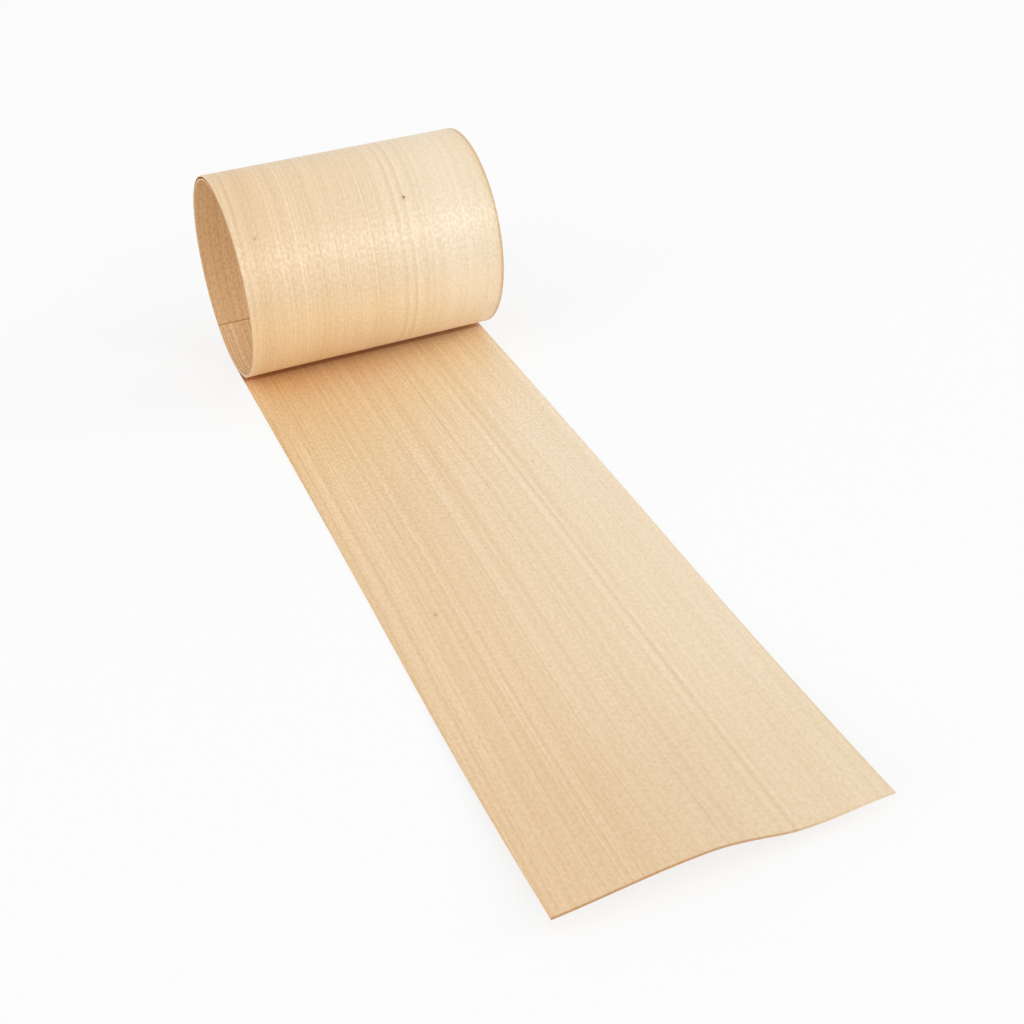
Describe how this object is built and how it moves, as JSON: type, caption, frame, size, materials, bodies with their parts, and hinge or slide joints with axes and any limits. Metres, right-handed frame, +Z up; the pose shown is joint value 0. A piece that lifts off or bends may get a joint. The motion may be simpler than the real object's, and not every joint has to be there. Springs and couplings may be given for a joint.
{
  "type": "partly unrolled wood veneer sheet",
  "caption": "Thin sliced wood veneer sheet, wound into a loose open roll at one end and running out flat to a slightly curled and buckled free end.",
  "frame": {"origin": "on the floor, under the middle of the whole piece's bounding box", "axes": "+Y runs along the sheet's length from the free end to the roll, +X runs across the sheet along the roll, +Z is up"},
  "size_m": [0.1862, 0.6148, 0.1404],
  "materials": {
    "beech_veneer": "bare sliced beech, pale straw to light tan, straight fine grain along the length, soft satin sheen"
  },
  "bodies": {
    "root": {"veneer_sheet": "beech_veneer"}
  },
  "joints": []
}
